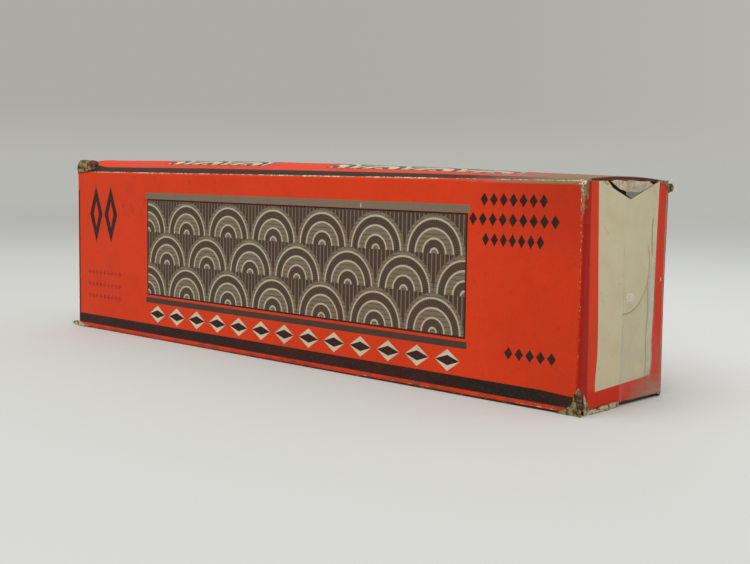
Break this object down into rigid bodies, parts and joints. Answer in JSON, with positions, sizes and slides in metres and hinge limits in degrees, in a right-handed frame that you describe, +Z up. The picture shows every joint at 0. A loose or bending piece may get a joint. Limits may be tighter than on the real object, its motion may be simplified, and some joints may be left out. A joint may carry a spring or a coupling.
{
  "type": "printed tuck-end carton for a small-scale model",
  "caption": "Long, low folding box of thin printed board: one end opens with a tuck flap and dust flaps, the other is shut with clear tape.",
  "frame": {"origin": "under the middle of the box, on the surface that it stands on", "axes": "+X along the length to the taped end, +Y from the front panel to the back panel, +Z up"},
  "size_m": [0.186, 0.034, 0.0524],
  "materials": {
    "printed_board": "printed, aged, satin, worn at the folds",
    "inner_board": "bare, matt",
    "clear_tape": "clear film, hazed and wrinkled"
  },
  "bodies": {
    "root": {"front_panel": "printed_board", "back_panel": "printed_board", "top_panel": "printed_board", "bottom_panel": "printed_board", "glue_flap": "inner_board", "tape_over_end": "clear_tape", "tape_over_back": "clear_tape", "taped_end_flap": "printed_board", "taped_end_tongue": "inner_board", "taped_end_upper_dust_flap": "inner_board", "taped_end_lower_dust_flap": "inner_board"},
    "plain_end_flap": {"plain_end_flap": "printed_board", "plain_end_tongue": "inner_board"},
    "plain_end_upper_dust_flap": {"plain_end_upper_dust_flap": "inner_board"},
    "plain_end_lower_dust_flap": {"plain_end_lower_dust_flap": "inner_board"}
  },
  "joints": [
    {"name": "plain_end_flap_hinge", "type": "hinge", "parent": "root", "child": "plain_end_flap", "pos_m": [-0.09304, -0.01704, 0.0245], "axis": [0, 0, 1], "range_deg": [0, 150]},
    {"name": "plain_end_upper_dust_flap_hinge", "type": "hinge", "parent": "root", "child": "plain_end_upper_dust_flap", "pos_m": [-0.09239, 0, 0.0524], "axis": [0, 1, 0], "range_deg": [0, 90]},
    {"name": "plain_end_lower_dust_flap_hinge", "type": "hinge", "parent": "root", "child": "plain_end_lower_dust_flap", "pos_m": [-0.09239, 0, 0], "axis": [0, -1, 0], "range_deg": [0, 90]}
  ],
  "couplings": [
    {"joint": "plain_end_upper_dust_flap_hinge", "follows": "plain_end_flap_hinge", "ratio": 0.5},
    {"joint": "plain_end_lower_dust_flap_hinge", "follows": "plain_end_flap_hinge", "ratio": 0.5}
  ]
}
